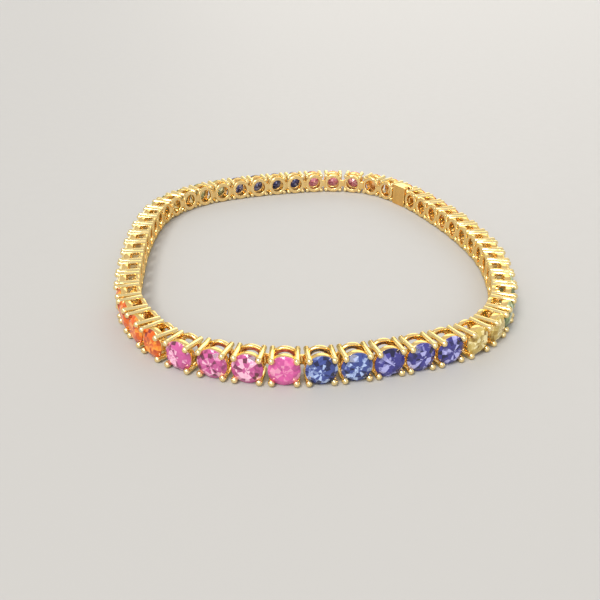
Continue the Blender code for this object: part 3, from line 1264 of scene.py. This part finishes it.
@dataclass
class Clasp:
    """The box clasp: a box that carries a setting, and the tongue that slides into it."""

    setting: Setting
    hook: EndHook
    proud: float = 0.04 * MM
    setback: float = 0.1 * MM
    wall: float = 0.55 * MM
    rounding: float = 0.14 * MM
    tongue_width: float = 1.1 * MM
    tongue_rounding: float = 0.06 * MM
    thumb_tab: float = 0.32 * MM
    head_bite: float = 0.08 * MM
    skin: float = 0.02 * MM
    rounded_area: float = 0.35 * MM * MM
    # Painted shade inside the slot, a deeper painted shade on the wrist face, and a little on the
    # tongue.
    slot_painted_shade: float = 0.6
    wrist_painted_shade: float = 0.7
    tongue_painted_shade: float = 0.1

    @property
    def half(self) -> float:
        """Half the height of the box as it lies."""
        return self.setting.half_width + self.proud

    @property
    def reach(self) -> float:
        """Half the length of the box along the row."""
        return self.setting.half_width - self.setback

    @property
    def top(self) -> float:
        """The level of the box's outer face, under its setting."""
        return self.hook.level + self.hook.thickness + self.hook.gap + self.wall

    @property
    def head_level(self) -> float:
        """The level where the box's setting and its stone begin, a little inside the box."""
        return self.top - self.head_bite

    def build_box(
        self, place: Matrix, following: Matrix, gold: bpy.types.Material
    ) -> bpy.types.Object:
        """Makes the box.

        Args:
            place: The clasp's place.
            following: The next setting's place, which the box's hook holds.
            gold: The gold.

        Returns:
            The box, with its slot and notch, its setting and its hook.
        """
        reach = self.reach
        low = Vector((-reach, -self.half, 0.0))
        body = Form.block(low, Vector((reach, self.half, self.top)), self.rounding, 3)
        made = self._cut(Form.stored(body, "clasp_body"), self._hollow())
        head = Form.keep_above(self.setting.mesh("clasp_setting"), self.head_level, "clasp_head")
        arm = self.setting.pitch - reach + self.wall / 2
        copies = [
            (made, place, 0.0),
            (head, place, 0.0),
            (self.hook.mesh(-1, arm), following, self.hook.recess),
        ]
        whole = Form.gathered("clasp_case", copies, Layer.PAINTED_SHADE)
        return Form.piece("clasp_case", whole, gold, Slot.GOLD, Node.BOX.value)

    def build_tongue(
        self, place: Matrix, before: Matrix, gold: bpy.types.Material
    ) -> bpy.types.Object:
        """Makes the tongue.

        Args:
            place: The clasp's place.
            before: The setting before it, which the tongue's hook holds.
            gold: The gold.

        Returns:
            The tongue, with its thumb tab and hook.
        """
        half = self.half
        wide = self.tongue_width / 2
        gap = self.hook.gap
        outer_end = -(self.setting.pitch - self.setting.rail_radius)
        inner_end = self.reach - self.wall - gap
        tab_start = -self.reach + gap
        tab_end = tab_start + self.thumb_tab
        outline = [
            (outer_end, -wide),
            (inner_end, -wide),
            (inner_end, wide),
            (tab_end, wide),
            (tab_end, half),
            (tab_start, half),
            (tab_start, wide),
            (outer_end, wide),
        ]
        low = self.hook.level
        leaf = Form.plate(outline, low, low + self.hook.thickness, self.tongue_rounding)
        arm = self.setting.pitch - self.reach
        copies = [
            (Form.stored(leaf, "leaf", smooth=True), place, self.tongue_painted_shade),
            (self.hook.mesh(1, arm), before, self.hook.recess),
        ]
        whole = Form.gathered("clasp_leaf", copies, Layer.PAINTED_SHADE)
        return Form.piece("clasp_leaf", whole, gold, Slot.GOLD, Node.TONGUE.value)

    def _hollow(self) -> bpy.types.Mesh:
        """Makes the shape of the tongue's slot and of the notch for its thumb tab.

        Returns:
            The mesh to cut out of the box.
        """
        gap = self.hook.gap
        slot_half = self.tongue_width / 2 + gap
        slot_end = self.reach - self.wall
        notch_end = -self.reach + self.thumb_tab + 2 * gap
        outside = self.half + gap
        outline = [
            (-outside, -slot_half),
            (slot_end, -slot_half),
            (slot_end, slot_half),
            (notch_end, slot_half),
            (notch_end, outside),
            (-outside, outside),
        ]
        low = self.hook.level - gap
        high = self.hook.level + self.hook.thickness + gap
        return Form.stored(Form.plate(outline, low, high, 0.0), "clasp_hollow")

    def _cut(self, mesh: bpy.types.Mesh, hollow: bpy.types.Mesh) -> bpy.types.Mesh:
        """Cuts the hollow out of the box, and gives painted shade to its inside and its wrist face.

        Args:
            mesh: The box.
            hollow: The shape to cut out.

        Returns:
            The hollow box.
        """
        scene = bpy.context.scene.collection
        body = bpy.data.objects.new("clasp_body", mesh)
        cutter = bpy.data.objects.new("clasp_hollow", hollow)
        scene.objects.link(body)
        scene.objects.link(cutter)
        cut = body.modifiers.new("hollow", "BOOLEAN")
        cut.operation = "DIFFERENCE"
        cut.solver = "EXACT"
        cut.object = cutter
        graph = bpy.context.evaluated_depsgraph_get()
        made = bpy.data.meshes.new_from_object(body.evaluated_get(graph))
        bpy.data.objects.remove(body)
        bpy.data.objects.remove(cutter)
        shape = bmesh.new()
        shape.from_mesh(made)
        key = Form.number(shape, Layer.PAINTED_SHADE)
        for face in shape.faces:
            centre = face.calc_center_median()
            within = abs(centre.x) < self.reach - self.skin
            inside = within and abs(centre.y) < self.half - self.skin
            if inside and self.skin < centre.z < self.top - self.skin:
                face[key] = self.slot_painted_shade
            elif centre.z < self.skin:
                face[key] = self.wrist_painted_shade
            face.smooth = face.calc_area() < self.rounded_area
        return Form.stored(shape, "clasp_body")


@dataclass
class Jewels:
    """All the stones, piece by piece in their runs of colour."""

    stone: Stone
    runs: list[StoneRun]
    clasp: int
    clasp_level: float
    seed: int = 11

    def build(self, matrices: list[Matrix], nodes: dict[int, Node]) -> None:
        """Sets every stone.

        Args:
            matrices: Every place of the row.
            nodes: The solid that each place belongs to.
        """
        cut = self.stone.mesh("stone")
        short = Form.keep_above(cut, self.clasp_level, "clasp_stone")
        chance = random.Random(self.seed)
        for run in self.runs:
            copies = []
            held = set()
            for place in range(run.first, run.first + run.count):
                turn = Matrix.Rotation(chance.uniform(0, math.pi / 4), 4, "Z")
                tone = chance.random()
                shape = short if place == self.clasp else cut
                copies.append((shape, matrices[place] @ turn, tone))
                held.add(nodes[place].value)
            mesh = Form.gathered(run.name, copies, Layer.TONE)
            Form.piece(run.name, mesh, run.finish.material(), run.finish.slot, *sorted(held))


@dataclass(frozen=True)
class SoftLight:
    """A soft light: where it shines from, how wide it is seen in degrees, and its strength."""

    name: str
    place: tuple[float, float, float]
    spread: float
    power: float
    colour: Colour

    def build(self) -> None:
        """Puts the light in the scene."""
        data = bpy.data.lights.new(self.name, "SUN")
        data.angle = math.radians(self.spread)
        data.energy = self.power
        data.color = self.colour
        lamp = bpy.data.objects.new(self.name, data)
        lamp.location = self.place
        lamp.rotation_euler = (-Vector(self.place)).to_track_quat("-Z", "Y").to_euler()
        bpy.context.scene.collection.objects.link(lamp)


@dataclass
class Studio:
    """The table, the soft lights and the camera, whose place is given in steps of the row."""

    centre: Vector
    pitch: float
    mid_height: float
    table_half: float = 3.0
    aside: float = -0.419
    back: float = 26.777
    up: float = 11.001
    down_angle: float = 26.76
    roll_angle: float = 0.622
    lens: float = 41.42
    sensor: float = 36.0
    sky_tint: Colour = (1.0, 0.99, 0.97)
    sky: list[Point] = field(
        default_factory=lambda: [(0.0, 0.78), (0.3, 0.66), (0.6, 0.7), (1.0, 0.7)]
    )
    lights: list[SoftLight] = field(
        default_factory=lambda: [
            SoftLight("window", (-0.4, -0.5, 1.0), 24.0, 2.3, (1.0, 0.97, 0.92)),
            SoftLight("lamp", (0.2, 1.0, 0.36), 44.0, 0.65, (1.0, 0.95, 0.88)),
            SoftLight("front", (0.1, -1.0, 0.5), 20.0, 0.5, (1.0, 1.0, 1.0)),
        ]
    )

    def build(self) -> None:
        """Makes the studio."""
        self._floor()
        self._world()
        for light in self.lights:
            light.build()
        self._camera()
        bpy.context.scene.view_settings.view_transform = "Standard"

    def _floor(self) -> None:
        """Makes the table top."""
        shape = bmesh.new()
        bmesh.ops.create_grid(shape, x_segments=2, y_segments=2, size=self.table_half)
        mesh = Form.stored(shape, "table_top")
        floor = bpy.data.objects.new("table_top", mesh)
        bpy.context.scene.collection.objects.link(floor)
        mesh.materials.append(FloorFinish().material())

    def _world(self) -> None:
        """Lights softly from all round, as bright at the horizon as the table top."""
        world = bpy.data.worlds.new("studio")
        world.use_nodes = True
        nodes = Nodes(world.node_tree)
        place = nodes.node("ShaderNodeTexCoord", output="Generated")
        height = nodes.node("ShaderNodeSeparateXYZ", sockets={0: place}, output="Z")
        tint = Vector(self.sky_tint)
        stops = [(level, tuple(tint * value)) for level, value in self.sky]
        ramp = nodes.node("ShaderNodeValToRGB", {"stops": stops}, {"Fac": height}, output="Color")
        sky = world.node_tree.nodes["Background"]
        nodes.feed(sky.inputs["Color"], ramp)
        nodes.feed(sky.inputs["Strength"], 1.0)
        bpy.context.scene.world = world

    def _camera(self) -> None:
        """Sets up the camera at the photograph's place and angle."""
        data = bpy.data.cameras.new("camera")
        data.sensor_width = self.sensor
        data.lens = self.lens
        data.clip_start = 0.001
        data.clip_end = 10.0
        camera = bpy.data.objects.new("camera", data)
        bpy.context.scene.collection.objects.link(camera)
        place = self.centre + Vector((self.aside, -self.back, self.up)) * self.pitch
        place.z += self.mid_height
        down = Matrix.Rotation(math.radians(90 - self.down_angle), 4, "X")
        roll = Matrix.Rotation(math.radians(self.roll_angle), 4, "Z")
        camera.matrix_world = Matrix.Translation(place) @ down @ roll
        bpy.context.scene.camera = camera


# Each stone: its body colour, its painted dark reflection, its painted flash highlight, and its
# clearness where given.
HOT_PINK = GemFinish(
    "hot_pink", Slot.HOT_PINK, (0.66, 0.1, 0.34), (0.46, 0.07, 0.24), (0.76, 0.3, 0.46), 0.0
)
CORNFLOWER = GemFinish(
    "cornflower_blue", Slot.CORNFLOWER, (0.05, 0.08, 0.32), (0.006, 0.01, 0.06), (0.5, 0.64, 0.98)
)
VIOLET_BLUE = GemFinish(
    "violet_blue", Slot.ROYAL_BLUE, (0.05, 0.045, 0.28), (0.006, 0.005, 0.045), (0.5, 0.5, 0.92)
)
OLIVE = GemFinish(
    "olive_yellow", Slot.OLIVE, (0.62, 0.46, 0.12), (0.26, 0.14, 0.01), (1.0, 0.88, 0.46)
)
LEAF_GREEN = GemFinish(
    "leaf_green", Slot.LEAF_GREEN, (0.3, 0.38, 0.16), (0.07, 0.1, 0.03), (0.8, 0.88, 0.58)
)
STRAW = GemFinish(
    "straw_yellow", Slot.STRAW, (0.8, 0.6, 0.16), (0.38, 0.2, 0.02), (1.0, 0.92, 0.58)
)
AMBER = GemFinish(
    "amber", Slot.AMBER, (0.82, 0.34, 0.07), (0.36, 0.1, 0.01), (1.0, 0.72, 0.38)
)
SOFT_PINK = GemFinish(
    "soft_pink", Slot.SOFT_PINK, (0.74, 0.26, 0.36), (0.34, 0.07, 0.12), (0.98, 0.64, 0.7)
)
INK_BLUE = GemFinish(
    "ink_blue", Slot.INK_BLUE, (0.06, 0.07, 0.2), (0.008, 0.01, 0.04), (0.38, 0.42, 0.66)
)
MEADOW_GREEN = GemFinish(
    "meadow_green", Slot.LEAF_GREEN, (0.38, 0.44, 0.22), (0.09, 0.12, 0.04), (0.82, 0.88, 0.64)
)
PALE_STRAW = GemFinish(
    "pale_straw", Slot.STRAW, (0.88, 0.76, 0.38), (0.46, 0.32, 0.08), (1.0, 0.96, 0.74)
)
ORANGE_RED = GemFinish(
    "orange_red", Slot.ORANGE_RED, (0.74, 0.12, 0.006), (0.24, 0.01, 0.003), (1.0, 0.36, 0.03)
)
MAGENTA = GemFinish(
    "magenta", Slot.MAGENTA, (0.6, 0.1, 0.32), (0.16, 0.03, 0.07), (0.98, 0.56, 0.72)
)


def stone_runs() -> list[StoneRun]:
    """The stones' colours, anticlockwise from the front stone.

    Returns:
        The runs of one colour.
    """
    order = [
        ("stone_hot_pink", 1, HOT_PINK),
        ("stones_cornflower", 2, CORNFLOWER),
        ("stones_violet_blue", 3, VIOLET_BLUE),
        ("stones_olive", 2, OLIVE),
        ("stones_leaf_green", 3, LEAF_GREEN),
        ("stones_straw", 6, STRAW),
        ("stones_amber", 7, AMBER),
        ("stones_soft_pink", 3, SOFT_PINK),
        ("stones_ink_blue", 4, INK_BLUE),
        ("stones_meadow_green", 5, MEADOW_GREEN),
        ("stones_pale_straw", 8, PALE_STRAW),
        ("stones_orange_red", 4, ORANGE_RED),
        ("stones_magenta", 3, MAGENTA),
    ]
    runs = []
    first = 0
    for name, count, finish in order:
        runs.append(StoneRun(name, first, count, finish))
        first += count
    return runs


def main() -> None:
    """Builds the bracelet and its studio."""
    logging.basicConfig(level=logging.INFO, format="%(message)s")
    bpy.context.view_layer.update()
    gold = GoldFinish().material()
    stone = Stone()
    setting = Setting(stone)
    link = Link(setting)
    hook = EndHook(setting)
    row = Row(setting.pitch)
    spots = row.matrices()
    box_spot = spots[row.clasp]
    right_start, right_end = spots[row.right[0]], spots[row.right[-1]]
    left_start, left_end = spots[row.left[0]], spots[row.left[-1]]

    right_line = StoneLine("line_right", Node.RIGHT_LINE, row.right, setting, link)
    right_line.build(spots, gold, [])
    left_line = StoneLine("line_left", Node.LEFT_LINE, row.left, setting, link)
    left_line.build(spots, gold, hook.line_end(link, left_end, right_start))
    clasp = Clasp(setting, hook)
    clasp.build_box(box_spot, left_start, gold)
    clasp.build_tongue(box_spot, right_end, gold)

    nodes = {row.clasp: Node.BOX}
    for line in (right_line, left_line):
        nodes.update({place: line.node for place in line.places})
    Jewels(stone, stone_runs(), row.clasp, clasp.head_level).build(spots, nodes)
    Studio(row.middle(spots), setting.pitch, spots[0].translation.z).build()


if __name__ == "__main__":
    main()
